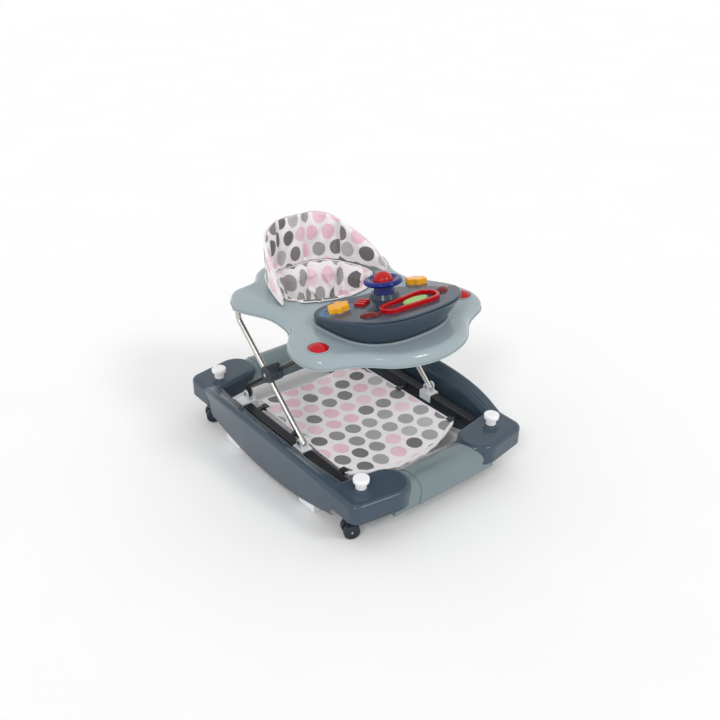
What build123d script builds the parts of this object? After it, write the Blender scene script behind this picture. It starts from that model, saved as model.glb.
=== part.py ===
"""Baby walker that turns into a rocker.

Two moulded rocker rails joined by front and rear bumpers carry four lifting casters.
A pair of scissor arms on each side holds the play tray, which carries the padded seat.

Frame: millimetres, +Z up, +X to the walker's left-right width, front of the tray to -Y.
The origin is on the floor under the middle of the base.
"""
import os
from math import atan2, cos, degrees, hypot, pi, radians, sin

from build123d import *

# ---------------------------------------------------------------- driving dimensions
WALL = 3.0                 # rocker and bumper mouldings
SLIP = 0.3                 # gap between parts that slide past each other
RUN = 0.05                 # radial clearance of a pin in its bore

# rocker rail: one moulding per side, arched on top and round underneath
RAIL_REACH = 255.0         # where the rail meets the corner pads
RAIL_END = 306.0           # end of the rail inside the corner pad
RAIL_OUT_X = 271.0         # outer top edge at mid length
RAIL_OUT_TUCK = 22.0       # how far that edge comes in at the pads
RAIL_IN_X = 228.0          # inner top edge at mid length
RAIL_IN_TUCK = 24.0
RAIL_OUT_Z = 158.0         # height of the outer top edge at mid length
RAIL_OUT_FALL = 38.0       # how far it drops at the pads
RAIL_IN_Z = 132.0
RAIL_IN_FALL = 13.0
SOLE_X = 228.0             # middle of the rocking sole
SOLE_WIDTH = 28.0
SOLE_RADIUS = 780.0        # rocking curve
SOLE_Z = 9.0               # sole above the floor while the casters carry the walker
RAIL_EDGE = 8.0            # rounded edges of the rail
LINE_W, LINE_DEPTH = 2.2, 1.4              # pressed lines along the crown
LINE_PLACES = (0.66, 0.82)                 # where they run, between the outer and the inner top edge
GRIP_COUNT, GRIP_PITCH, GRIP_Y = 8, 9.0, -90.0     # ribs across the crown, and the first one's place
GRIP_L, GRIP_W, GRIP_RISE, GRIP_PLACE = 13.0, 3.2, 1.6, 0.45
RIB_PITCH = 65.0
RIB = 2.5

# corner pads
PAD_TOP = 122.0
PAD_DEPTH = 46.0
PAD_EDGE = 11.0
PAD_TIP_X, PAD_TIP_Y, PAD_TIP_R = 134.0, 298.0, 48.5
PAD_CORNER_X, PAD_CORNER_Y, PAD_CORNER_R = 225.0, 308.0, 24.0
PAD_NECK_Y, PAD_NECK_R = 247.0, 12.0

# bumpers between the pads
BUMPER_HALF = 146.0
BUMPER_IN_Y, BUMPER_OUT_Y = 254.0, 340.5
BUMPER_IN_LOW, BUMPER_IN_HIGH = 72.0, 94.0
BUMPER_CREST_Y, BUMPER_CREST_Z = 302.0, 117.5
BUMPER_LOW_Z = 55.0
BUMPER_PANEL, BUMPER_PANEL_RISE = 76.0, 1.6    # half length of the raised middle, and its height

# casters
KNOB_X, KNOB_Y = 192.0, 280.0
KNOB_LIFT = 22.0           # pulled up, the casters leave the floor to the rocking soles
KNOB_PROUD = 25.0          # head above the pad
KNOB_R, KNOB_HEAD_R, KNOB_HEAD = 12.0, 17.6, 9.0
SOCKET_WALL = 3.5
SOCKET_DEPTH = 36.0
WHEEL_R, WHEEL_T = 18.0, 14.0
FORK_RIB = 8.0
CASTER_TRAIL_X, CASTER_TRAIL_Y = -21.0, 9.0
COLLAR_R, COLLAR_TOP = 11.5, 62.0
HOOD_LOW, HOOD_R = 39.0, 13.0
HOOD_TOP = PAD_TOP - PAD_DEPTH - KNOB_LIFT - 3.0
STEM_R, STEM_LENGTH = 4.0, 46.0
CASTER_AXLE_R = 2.5

# slide rails and their brackets
RAIL_BAR_X, RAIL_BAR_W, RAIL_BAR_H = 192.0, 22.0, 20.0
RAIL_BAR_Z = 84.0
RAIL_BAR_FRONT, RAIL_BAR_REAR = -228.0, 192.0
LEDGE_T, LEDGE_END = 4.0, 10.0
BRACKET_T = 3.0
BRACKET_L = 36.0
EAR_T = 3.5
EAR_GAP = 0.4

# scissor arms (symmetric about their middle pivot)
PIVOT_Y, PIVOT_Z = 50.0, 240.0
ARM_HALF_Y, ARM_HALF_Z = 122.0, 118.0
FRONT_ARM_X, REAR_ARM_X = 191.0, 174.5
TUBE_R, TUBE_WALL = 6.35, 1.5
TUBE_END = 8.0             # tube past its end pivot
FRONT_ARM_BEND = 28.0      # height of the upright piece at the top of the front arm
REAR_ARM_BEND = 21.0       # the same at both ends of the rear arm
BEND_R = 22.0
HUB_R = 20.0
PIN_R, PIN_HEAD_R, PIN_HEAD = 2.5, 4.5, 2.0
FOLD_ANGLE = 28.0          # degrees from the pose shown to folded flat
RAISE_ANGLE = 7.0          # degrees up to the highest notch
SLOT_SPARE = 1.5           # slot past the pin's last place at each end

# play tray
TRAY_TOP, TRAY_SKIRT, TRAY_WALL = 396.0, 370.0, 2.5
TRAY_EDGE = 20.0
FLANGE_T, FLANGE_H = 1.5, 3.0              # bead round the skirt's lower edge
RIM_W, RIM_H = 3.0, 1.5                    # raised rims round the cups
RIDGE_GAP, RIDGE_W, RIDGE_H = 4.0, 5.0, 2.0    # ridge moulded round the console's foot
SEAT_LIP = 30.0
DOME_X, DOME_Y, DOME_R, DOME_H = 200.0, -148.0, 21.7, 10.0
DOME_SKIRT, DOME_STEM_R, DOME_STEM_TAIL = 6.0, 5.0, 6.0
DOME_STROKE = 3.0
DOME_SPRING = 7.0          # room for the return spring under the pressed dome
CUP_DEPTH = DOME_SKIRT + DOME_STROKE + DOME_SPRING

# padded seat
BACK_TOP, BACK_FRONT_TOP, BACK_FRONT_Y = 524.0, 409.0, 45.0
BACK_THICK = 20.0
SLING_BOTTOM, SLING_T, SLING_GAP = 245.0, 4.0, 0.6
SLING_BASE, SLING_WAIST = 0.62, 0.90       # size of the seat's base and waist against the opening
SLING_MIDDLE_Y = 118.0
LEG_R = 38.0

# play console
CONSOLE_REAR_Y, CONSOLE_REAR_Z = -45.0, 428.0
CONSOLE_SLOPE = 0.179
CONSOLE_WALL = 2.5
CONSOLE_TAPER = 0.90       # foot against the full outline
CONSOLE_FULL = 46.0        # height at which the flaring side reaches the full outline
CONSOLE_EDGE = 5.0
CORNER_X, CORNER_Y = 24.0, -50.0            # rear end of the crease where the top falls to a rear corner
CORNER_END_X, CORNER_END_Y = 146.0, -205.0  # its front end
CORNER_FALL = 0.13         # extra slope beyond the crease
BOSS_R, BOSS_H = 30.0, 10.0
POST_Y, POST_R, POST_H = -116.0, 23.0, 17.0
WHEEL_RIM_R, WHEEL_RIM_T = 42.0, 12.0
CAP_R, CAP_H = 22.0, 20.0
FLOWER_X, FLOWER_Y, FLOWER_R, FLOWER_H = 108.0, -98.0, 25.0, 13.0
LIGHT_X, LIGHT_Y, LIGHT_A, LIGHT_B, LIGHT_H = 98.0, -188.0, 22.0, 14.0, 8.0
BEAD_X, BEAD_Y, BEAD_W, BEAD_L = -72.0, -122.0, 7.0, 24.0
LIGHT_TURN = 38.0          # degrees, so that the long side follows the console's edge
LOOP_Y, LOOP_RIGHT, LOOP_LEFT, LOOP_RIM, LOOP_H = -196.0, 28.0, 20.0, 4.0, 9.0

# foot mat
MAT_FRONT_X, MAT_REAR_X = 163.0, 155.0
MAT_FRONT_Y, MAT_REAR_Y = -190.0, 170.0
MAT_BOW = 42.0             # how far the front edge bows forward of its corners
STOP_GAP = 1.5             # between the front hooks and the folded walker's sliders
MAT_Z, MAT_T = 88.0, 4.0

STANDING = (Align.CENTER, Align.CENTER, Align.MIN)
parts = {}


# ---------------------------------------------------------------- small builders
def block(x0, x1, y0, y1, z0, z1):
    """Box between two corners."""
    return Pos((x0 + x1) / 2, (y0 + y1) / 2, (z0 + z1) / 2) * Box(abs(x1 - x0), abs(y1 - y0), abs(z1 - z0))


def upright(x, y, z0, z1, radius):
    """Round bar standing between two heights."""
    return Pos(x, y, z0) * Cylinder(radius, z1 - z0, align=STANDING)


def crossbar(y, z, x0, x1, radius):
    """Round bar lying along X."""
    return Pos(x0, y, z) * Rot(0, 90, 0) * Cylinder(radius, x1 - x0, align=STANDING)


def other_side(solid):
    """The same piece on the opposite side of the walker."""
    return mirror(solid, about=Plane.YZ)


def both_sides(solid):
    return [solid, other_side(solid)]


def keep(name, shape):
    """Register a node; a list becomes one node of separate solids."""
    parts[name] = Compound(children=shape) if isinstance(shape, list) else shape


# ---------------------------------------------------------------- rocker rails
def rail_section(y, inset=0.0, drop=0.0):
    """Cross-section of the rail at station y: four corners with rounded edges."""
    t = min(abs(y) / RAIL_REACH, 1.0)
    sole = SOLE_Z + y * y / (2 * SOLE_RADIUS) - drop
    corners = [
        (RAIL_OUT_X - RAIL_OUT_TUCK * t**3 - inset, RAIL_OUT_Z - RAIL_OUT_FALL * t**3 - 1.6 * inset),
        (RAIL_IN_X - RAIL_IN_TUCK * t**4 + inset, RAIL_IN_Z - RAIL_IN_FALL * t**4 - inset),
        (SOLE_X - SOLE_WIDTH / 2 + inset, sole),
        (SOLE_X + SOLE_WIDTH / 2 - inset, sole),
    ]
    with BuildSketch(Plane.XZ.offset(-y)) as section:
        with BuildLine():
            Polyline(*corners, close=True)
        make_face()
        fillet(section.vertices(), RAIL_EDGE - inset)
    return section.sketch


def rail_body(inset=0.0, drop=0.0):
    half = [90.0, 165.0, 225.0, 262.0, RAIL_END - inset]
    stations = [-y for y in reversed(half)] + [0.0] + half
    return loft([rail_section(y, inset, drop) for y in stations])


def crown_place(y, share):
    """Place on the rail's sloping top, share of the way from its outer to its inner edge, leaning with it."""
    t = min(abs(y) / RAIL_REACH, 1.0)
    outer = Vector(RAIL_OUT_X - RAIL_OUT_TUCK * t**3, 0, RAIL_OUT_Z - RAIL_OUT_FALL * t**3)
    inner = Vector(RAIL_IN_X - RAIL_IN_TUCK * t**4, 0, RAIL_IN_Z - RAIL_IN_FALL * t**4)
    spot = outer + (inner - outer) * share
    lean = degrees(atan2(outer.Z - inner.Z, outer.X - inner.X))
    return Pos(spot.X, y, spot.Z) * Rot(0, -lean, 0)


def crown_line(share):
    """Shallow strip to cut along the rail's sloping top."""
    stations = (-238.0, -165.0, -90.0, 0.0, 90.0, 165.0, 238.0)
    strip = Plane.XZ * Rectangle(LINE_W, 2 * LINE_DEPTH)
    return loft([crown_place(y, share) * strip for y in stations])


def pad_body(side, inset=0.0, low=PAD_TOP - PAD_DEPTH):
    """Corner pad: the hull of a round tip, a tighter outer corner and the rail's neck."""
    circles = [
        (PAD_TIP_X, PAD_TIP_Y, PAD_TIP_R),
        (PAD_CORNER_X, PAD_CORNER_Y, PAD_CORNER_R),
        (RAIL_OUT_X - RAIL_OUT_TUCK - PAD_NECK_R, PAD_NECK_Y, PAD_NECK_R),
        (RAIL_IN_X - RAIL_IN_TUCK + PAD_NECK_R, PAD_NECK_Y, PAD_NECK_R),
    ]
    with BuildSketch(Plane.XY.offset(low)) as plan:
        for x, y, r in circles:
            with Locations((x, side * y)):
                Circle(r - inset)
        make_hull()
    solid = extrude(plan.sketch, PAD_TOP - inset - low)
    return fillet(solid.faces().sort_by(Axis.Z)[-1].edges(), PAD_EDGE - inset)


def bumper_face(side, inset=0.0, drop=0.0):
    """Profile of a bumper across its length: flat inner wall, domed top, leaning outer wall."""
    rear_low = (side * (BUMPER_IN_Y + inset), BUMPER_IN_LOW - drop)
    rear_high = (side * (BUMPER_IN_Y + inset), BUMPER_IN_HIGH - inset / 2)
    crest = (side * BUMPER_CREST_Y, BUMPER_CREST_Z - inset)
    nose = (side * (BUMPER_OUT_Y - inset), 88.0)
    front_low = (side * (BUMPER_OUT_Y - 4 - inset), BUMPER_LOW_Z - drop)
    outline = [
        Line(rear_low, rear_high),
        Spline(rear_high, crest, nose, tangents=[(side * 1.0, 0.75), (side * 0.06, -1.0)]),
        Line(nose, front_low),
        Line(front_low, rear_low),
    ]
    return Plane.YZ * make_face(outline)


rail_solid = rail_body()
outer_form = rail_solid + pad_body(1) + pad_body(-1)
hollow = rail_body(WALL, 2 * WALL) + pad_body(1, WALL, HOOD_TOP) + pad_body(-1, WALL, HOOD_TOP)
ribs = [rail_solid & block(0, 300, y - RIB / 2, y + RIB / 2, 0, 200)
        for y in (-3 * RIB_PITCH, -2 * RIB_PITCH, -RIB_PITCH, 0, RIB_PITCH, 2 * RIB_PITCH, 3 * RIB_PITCH)]
rocker = outer_form - hollow
for rib in ribs:
    rocker += rib

ledge_reach = SOLE_X - 4
rocker += block(RAIL_BAR_X - RAIL_BAR_W / 2, ledge_reach, RAIL_BAR_FRONT - LEDGE_END,
                RAIL_BAR_REAR + LEDGE_END, RAIL_BAR_Z - LEDGE_T, RAIL_BAR_Z)
well_r = hypot(CASTER_TRAIL_X, CASTER_TRAIL_Y) + WHEEL_R + 2
well_top = PAD_TOP - PAD_DEPTH
socket_low = PAD_TOP - SOCKET_DEPTH
socket_r = KNOB_R + SLIP
for side in (1, -1):
    rocker -= upright(KNOB_X, side * KNOB_Y, -1, well_top, well_r)
    rocker += upright(KNOB_X, side * KNOB_Y, socket_low, PAD_TOP - 1, socket_r + SOCKET_WALL)
    rocker -= upright(KNOB_X, side * KNOB_Y, socket_low - 5, PAD_TOP + 5, socket_r)
    rocker -= extrude(bumper_face(side, -SLIP, 20), BUMPER_HALF + SLIP, both=True)

# moulded detail: two pressed lines along the crown, and ribs across its outer edge
for place in LINE_PLACES:
    rocker -= crown_line(place)
for i in range(GRIP_COUNT):
    grip = crown_place(GRIP_Y + i * GRIP_PITCH, GRIP_PLACE) * Box(GRIP_L, GRIP_W, 2 * GRIP_RISE)
    rocker += fillet(grip.faces().sort_by(Axis.Z)[-1].edges(), 1)
keep("rocker_right", rocker)
keep("rocker_left", other_side(rocker))

for side, name in ((-1, "front"), (1, "rear")):
    bumper = extrude(bumper_face(side), BUMPER_HALF, both=True)
    bumper += extrude(bumper_face(side, -BUMPER_PANEL_RISE), BUMPER_PANEL, both=True)
    bumper -= extrude(bumper_face(side, WALL, 20), BUMPER_HALF - WALL, both=True)
    for i in range(-1, 2):
        web = extrude(bumper_face(side, WALL / 2, -4), RIB / 2, both=True)
        bumper += Pos(i * 70.0, 0, 0) * web
    for i in range(11):
        x = (i - 5) * 12.0
        bumper += Pos(x, side * 321.0, 110.0) * Rot(side * -38, 0, 0) * Box(2.5, 16, 5)
    keep("bumper_" + name, bumper)

# ---------------------------------------------------------------- slide rails
rail_top = RAIL_BAR_Z + RAIL_BAR_H
rail_in = RAIL_BAR_X - RAIL_BAR_W / 2
rail_out = RAIL_BAR_X + RAIL_BAR_W / 2
slide_bar = block(rail_in, rail_out, RAIL_BAR_FRONT, RAIL_BAR_REAR, RAIL_BAR_Z, rail_top)
slide_bar -= block(rail_in + 3.5, rail_out - 3.5, RAIL_BAR_FRONT - 1, RAIL_BAR_REAR + 1,
                   RAIL_BAR_Z - 1, rail_top - 4)
for offset_x in (-5.5, 0, 5.5):
    slide_bar -= block(RAIL_BAR_X + offset_x - 1, RAIL_BAR_X + offset_x + 1, RAIL_BAR_FRONT - 1,
                       RAIL_BAR_REAR + 1, rail_top - 1.5, rail_top + 1)
keep("slide_rail_right", slide_bar)
keep("slide_rail_left", other_side(slide_bar))

foot_z = PIVOT_Z - ARM_HALF_Z
head_z = PIVOT_Z + ARM_HALF_Z
front_foot_y = PIVOT_Y - ARM_HALF_Y
rear_foot_y = PIVOT_Y + ARM_HALF_Y


def ears(x, y, z, length, foot):
    """Pair of drilled ears either side of a tube's end; foot is where they spring from."""
    low, high = sorted((foot, z))
    pair = []
    for x0 in (x - TUBE_R - EAR_GAP - EAR_T, x + TUBE_R + EAR_GAP):
        plate = block(x0, x0 + EAR_T, y - length / 2, y + length / 2, low, high)
        plate += crossbar(y, z, x0, x0 + EAR_T, length / 2)
        pair.append(plate - crossbar(y, z, x0 - 1, x0 + EAR_T + 1, PIN_R + RUN))
    return pair[0] + pair[1]


def saddle(y, low, gap):
    """Bracket body that straddles the slide rail."""
    body = block(rail_in - gap - BRACKET_T, rail_out + gap + BRACKET_T, y - BRACKET_L / 2, y + BRACKET_L / 2,
                 low, rail_top + gap + BRACKET_T)
    return body - block(rail_in - gap, rail_out + gap, y - BRACKET_L, y + BRACKET_L, low - 1, rail_top + gap)


ear_length = 18.0
ear_low = rail_top + SLIP + BRACKET_T
slider = saddle(front_foot_y, RAIL_BAR_Z + 2, SLIP)
slider += ears(FRONT_ARM_X, front_foot_y, foot_z, ear_length, ear_low - 1)
keep("arm_slider_right", slider)
keep("arm_slider_left", other_side(slider))

foot_bracket = saddle(rear_foot_y, RAIL_BAR_Z, 0)
shelf_x = REAR_ARM_X - TUBE_R - EAR_GAP - EAR_T
foot_bracket += block(shelf_x, rail_in - BRACKET_T, rear_foot_y - BRACKET_L / 2, rear_foot_y + BRACKET_L / 2,
                      RAIL_BAR_Z + 8, rail_top + BRACKET_T)
foot_bracket += ears(REAR_ARM_X, rear_foot_y, foot_z, ear_length, rail_top + BRACKET_T - 1)
keep("foot_bracket_right", foot_bracket)
keep("foot_bracket_left", other_side(foot_bracket))


# ---------------------------------------------------------------- scissor arms
def swept(points, radius):
    path = FilletPolyline(*points, radius=BEND_R) if len(points) > 2 else Line(*points)
    start = Plane(origin=path @ 0, z_dir=path % 0)
    return sweep(start * Circle(radius), path=path)


def front_arm_path(x):
    """Straight from the sliding foot, with an upright piece under the tray."""
    foot = Vector(x, front_foot_y, foot_z)
    bend = Vector(x, rear_foot_y, head_z - FRONT_ARM_BEND)
    start = foot - (bend - foot).normalized() * TUBE_END
    return [start, bend, Vector(x, rear_foot_y, head_z + TUBE_END)]


def rear_arm_path(x):
    """Upright at both ends and straight through the middle pivot."""
    return [Vector(x, rear_foot_y, foot_z - TUBE_END), Vector(x, rear_foot_y, foot_z + REAR_ARM_BEND),
            Vector(x, front_foot_y, head_z - REAR_ARM_BEND), Vector(x, front_foot_y, head_z + TUBE_END)]


def hub(x0, x1, tube):
    """Moulded clamp round the tube at the middle pivot."""
    shell = crossbar(PIVOT_Y, PIVOT_Z, x0, x1, HUB_R) - tube
    return chamfer(shell.edges().filter_by(GeomType.CIRCLE).filter_by(lambda e: e.radius > HUB_R - 0.1), 1.5)


hub_split = (FRONT_ARM_X + REAR_ARM_X) / 2
hub_in = REAR_ARM_X - TUBE_R - 3.2
hub_out = FRONT_ARM_X + TUBE_R + 5.5

front_tube = swept(front_arm_path(FRONT_ARM_X), TUBE_R)
front_core = swept(front_arm_path(FRONT_ARM_X), TUBE_R - TUBE_WALL)
rear_tube = swept(rear_arm_path(REAR_ARM_X), TUBE_R)
rear_core = swept(rear_arm_path(REAR_ARM_X), TUBE_R - TUBE_WALL)

front_holes = crossbar(front_foot_y, foot_z, 150, 230, PIN_R) + crossbar(rear_foot_y, head_z, 150, 230, PIN_R)
rear_holes = (crossbar(rear_foot_y, foot_z, 150, 230, PIN_R) + crossbar(front_foot_y, head_z, 150, 230, PIN_R)
              + crossbar(PIVOT_Y, PIVOT_Z, 150, 230, PIN_R))

front_hub = hub(hub_split + SLIP / 2, hub_out, front_tube)
front_hub -= crossbar(PIVOT_Y, PIVOT_Z, 150, 230, PIN_R + RUN)
ring_face = Plane.YZ.offset(hub_out - 1.2) * Pos(PIVOT_Y, PIVOT_Z)
for radius in (9.5, 14.5):
    front_hub -= extrude(ring_face * (Circle(radius + 1) - Circle(radius - 1)), 3)
rear_hub = hub(hub_in, hub_split - SLIP / 2, rear_tube) - crossbar(PIVOT_Y, PIVOT_Z, 150, 230, PIN_R)

keep("front_arm_right", front_tube - front_core - front_holes)
keep("rear_arm_right", rear_tube - rear_core - rear_holes)
keep("front_hub_right", front_hub)
keep("rear_hub_right", rear_hub)
for name in ("front_arm", "rear_arm", "front_hub", "rear_hub"):
    keep(name + "_left", other_side(parts[name + "_right"]))


def pin(y, z, x0, x1):
    """Riveted pin with a head at each end, standing clear of what turns on it."""
    body = crossbar(y, z, x0 - 0.2, x1 + 0.2, PIN_R)
    body += crossbar(y, z, x0 - 0.2 - PIN_HEAD, x0 - 0.2, PIN_HEAD_R)
    return body + crossbar(y, z, x1 + 0.2, x1 + 0.2 + PIN_HEAD, PIN_HEAD_R)


ear_half = TUBE_R + EAR_GAP + EAR_T
front_pins = [pin(front_foot_y, foot_z, FRONT_ARM_X - ear_half, FRONT_ARM_X + ear_half),
              pin(rear_foot_y, head_z, FRONT_ARM_X - ear_half, FRONT_ARM_X + ear_half)]
rear_pins = [pin(rear_foot_y, foot_z, REAR_ARM_X - ear_half, REAR_ARM_X + ear_half),
             pin(front_foot_y, head_z, REAR_ARM_X - ear_half, REAR_ARM_X + ear_half),
             pin(PIVOT_Y, PIVOT_Z, hub_in, hub_out)]
keep("front_arm_pins", [solid for one in front_pins for solid in both_sides(one)])
keep("rear_arm_pins", [solid for one in rear_pins for solid in both_sides(one)])

# ---------------------------------------------------------------- play tray
tray_points = [(0, 268), (52, 265), (92, 246), (122, 212), (152, 201), (192, 192), (209, 168), (215, 134),
               (199, 94), (182, 52), (181, 8), (192, -34), (218, -64), (238, -105), (243, -148), (226, -188),
               (186, -209), (146, -230), (104, -268), (54, -292), (0, -300)]
seat_points = [(0, 222), (48, 219), (84, 203), (106, 176), (122, 142), (132, 100), (130, 62), (112, 46),
               (88, 32), (46, 13), (0, 5)]


def smooth_half(points):
    """Curve that leaves and meets the walker's middle plane squarely."""
    return Spline(*points, tangents=[(1, 0), (-1, 0)], tangent_scalars=[1.0, 1.0])


def symmetric_face(points, grow=0.0, steps=32):
    """Face inside a smooth curve through the points and its mirror image, moved outward by grow."""
    right = smooth_half(points)
    if grow:
        shifted = []
        for i in range(steps + 1):
            along = right % (i / steps)
            shifted.append((right @ (i / steps)) + Vector(-along.Y, along.X) * grow)
        right = smooth_half(shifted)
    return make_face([right, mirror(right, about=Plane.YZ)])


seat_face = symmetric_face(seat_points)


def rounded_slab(face, low, high, radius):
    solid = extrude(Plane.XY.offset(low) * face, high - low)
    return fillet(solid.faces().sort_by(Axis.Z)[-1].edges(), radius)


tray_ceiling = TRAY_TOP - TRAY_WALL
tray = rounded_slab(symmetric_face(tray_points), TRAY_SKIRT, TRAY_TOP, TRAY_EDGE)
lip = extrude(Plane.XY.offset(TRAY_TOP - SEAT_LIP) * symmetric_face(seat_points, TRAY_WALL), SEAT_LIP - 1)
tray_hollow = rounded_slab(symmetric_face(tray_points, -TRAY_WALL), TRAY_SKIRT - 40, tray_ceiling,
                           TRAY_EDGE - TRAY_WALL)
tray = (tray - tray_hollow) + lip
flange = symmetric_face(tray_points, FLANGE_T) - symmetric_face(tray_points, -TRAY_WALL / 2)
tray += extrude(Plane.XY.offset(TRAY_SKIRT) * flange, FLANGE_H)
tray -= extrude(Plane.XY.offset(TRAY_SKIRT - 20) * seat_face, 80)

cup_r = DOME_R + SLIP
cup_low = TRAY_TOP - CUP_DEPTH
for x in (DOME_X, -DOME_X):
    tray += upright(x, DOME_Y, cup_low - TRAY_WALL, TRAY_TOP - 1, cup_r + TRAY_WALL)
    tray += upright(x, DOME_Y, TRAY_TOP - 1, TRAY_TOP + RIM_H, cup_r + RIM_W)
    tray -= upright(x, DOME_Y, cup_low, TRAY_TOP + RIM_H + 1, cup_r)
    tray -= upright(x, DOME_Y, cup_low - TRAY_WALL - 1, cup_low + 1, DOME_STEM_R + SLIP)

console_points = [(0, -72), (45, -64), (92, -40), (130, -40), (153, -60), (156, -102), (146, -170),
                  (120, -218), (80, -244), (0, -255)]


def console_outline(grow, share):
    """The console's outline moved out by grow and scaled about the walker's middle."""
    return scale(symmetric_face(console_points, grow), by=share)


ridge_in = console_outline(RIDGE_GAP, CONSOLE_TAPER)
ridge_out = console_outline(RIDGE_GAP + RIDGE_W, CONSOLE_TAPER)
ridge = extrude(Plane.XY.offset(TRAY_TOP - 1) * ridge_out, RIDGE_H + 1)
ridge = chamfer(ridge.faces().sort_by(Axis.Z)[-1].edges(), 1)
tray += ridge - extrude(Plane.XY.offset(TRAY_TOP - 2) * ridge_in, RIDGE_H + 4)
tray -= extrude(Plane.XY.offset(TRAY_TOP - 2) * seat_face, RIDGE_H + 4)
keep("tray_shell", tray)

hanger_length = 12.0
hanger = ears(FRONT_ARM_X, rear_foot_y, head_z, hanger_length, tray_ceiling)
hanger += block(FRONT_ARM_X - ear_half, FRONT_ARM_X + ear_half, rear_foot_y - hanger_length / 2,
                rear_foot_y + hanger_length / 2, tray_ceiling - BRACKET_T, tray_ceiling)
keep("rear_hangers", both_sides(hanger & tray_hollow))

# height rack: slotted plates under the tray, notched for each height
arm_length = hypot(ARM_HALF_Y, ARM_HALF_Z)
arm_angle = degrees(atan2(ARM_HALF_Z, ARM_HALF_Y))


def head_pin_y(turn):
    """Place along the tray of the rear arm's head when the arms turn by this many degrees."""
    return rear_foot_y - 2 * arm_length * cos(radians(arm_angle - turn))


slot_half = PIN_R + SLIP + 0.1
slot_front = head_pin_y(FOLD_ANGLE) - slot_half - SLOT_SPARE
slot_rear = head_pin_y(-RAISE_ANGLE) + slot_half + SLOT_SPARE
rack_x0, rack_x1 = REAR_ARM_X - ear_half + 0.5, REAR_ARM_X + ear_half - 0.5
rack = block(rack_x0, rack_x1, slot_front - 8, slot_rear + 8, head_z - 9, tray_ceiling)
rack -= block(REAR_ARM_X - TUBE_R - EAR_GAP, REAR_ARM_X + TUBE_R + EAR_GAP, slot_front - 9, slot_rear + 9,
              head_z - 10, tray_ceiling - BRACKET_T)
rack -= block(rack_x0 - 1, rack_x1 + 1, slot_front, slot_rear, head_z - slot_half, head_z + slot_half)
for turn in (-RAISE_ANGLE, 0.0, RAISE_ANGLE):
    rack -= crossbar(head_pin_y(turn), head_z + PIN_R, rack_x0 - 1, rack_x1 + 1, slot_half)
stem_low = cup_low - DOME_STEM_TAIL - DOME_STROKE
rack -= upright(DOME_X, DOME_Y, stem_low - 1, TRAY_TOP, cup_r + TRAY_WALL + SLIP)
keep("height_racks", both_sides(rack & tray_hollow))

# ---------------------------------------------------------------- dome buttons
dome_top = TRAY_TOP + DOME_H
dome_sphere = (DOME_R**2 + DOME_H**2) / (2 * DOME_H)


def dome_button(x):
    cap = upright(x, DOME_Y, TRAY_TOP - DOME_SKIRT, dome_top, DOME_R)
    cap &= Pos(x, DOME_Y, dome_top - dome_sphere) * Sphere(dome_sphere)
    return cap + upright(x, DOME_Y, cup_low - DOME_STEM_TAIL, TRAY_TOP - DOME_SKIRT + 1, DOME_STEM_R)


keep("dome_button_right", dome_button(DOME_X))
keep("dome_button_left", dome_button(-DOME_X))

# ---------------------------------------------------------------- padded seat
back_low = TRAY_TOP + 0.5
back_points = [(0, 224), (48, 221), (84, 205), (112, 177), (130, 142), (143, 100), (151, 60), (150, 30),
               (120, -2), (60, -14), (0, -16)]
back_rear_y = back_points[0][1] + 8
back_ring = symmetric_face(back_points) - symmetric_face(back_points, -BACK_THICK)
seat_back = extrude(Plane.XY.offset(back_low) * back_ring, BACK_TOP - back_low)
side_view = Plane.YZ * make_face([
    Line((BACK_FRONT_Y, back_low), (BACK_FRONT_Y, BACK_FRONT_TOP)),
    Spline((BACK_FRONT_Y, BACK_FRONT_TOP), (100, 456), (180, 503), (back_rear_y, BACK_TOP),
           tangents=[(1, 0.9), (1, 0)]),
    Line((back_rear_y, BACK_TOP), (back_rear_y, back_low)),
    Line((back_rear_y, back_low), (BACK_FRONT_Y, back_low)),
])
seat_back &= extrude(side_view, 200, both=True)
keep("seat_back", seat_back)



def sling_form(inset, bottom, top):
    """Fabric bucket that narrows from the tray opening to the seat base."""
    mouth = symmetric_face(seat_points, -inset)
    rings = [Plane.XY.offset(top) * mouth]
    for z, share in (((bottom + top) / 2, SLING_WAIST), (bottom, SLING_BASE)):
        rings.append(Pos(0, SLING_MIDDLE_Y * (1 - share), z) * scale(mouth, by=share))
    return loft(rings[::-1], ruled=True)


sling = sling_form(SLING_GAP, SLING_BOTTOM, TRAY_TOP)
sling -= sling_form(SLING_GAP + SLING_T, SLING_BOTTOM + SLING_T, TRAY_TOP + 1)
for x in (52, -52):
    leg = Pos(x, 30, SLING_BOTTOM + 42) * Rot(62, 0, 0) * Cylinder(LEG_R, 90)
    sling -= leg
keep("seat_sling", sling)

# ---------------------------------------------------------------- play console
console_low = TRAY_TOP + 0.2


def on_console(x, y):
    """Plane on the sloping top of the console at a plan position."""
    z = CONSOLE_REAR_Z + CONSOLE_SLOPE * (CONSOLE_REAR_Y - y)
    return Plane(origin=(x, y, z), x_dir=(1, 0, 0), z_dir=(0, CONSOLE_SLOPE, 1))


crease = Vector(CORNER_END_X - CORNER_X, CORNER_END_Y - CORNER_Y).normalized()


def on_corner(side, x, y):
    """Plane on the falling rear corner of the console, side 1 on the right and -1 on the left."""
    beyond = (y - CORNER_Y) * crease.X - (abs(x) - CORNER_X) * crease.Y
    level = on_console(x, y)
    tilt = (-side * CORNER_FALL * crease.Y, CONSOLE_SLOPE + CORNER_FALL * crease.X, 1)
    return Plane(origin=level.origin - Vector(0, 0, CORNER_FALL * beyond), x_dir=(1, 0, -tilt[0]), z_dir=tilt)


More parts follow.
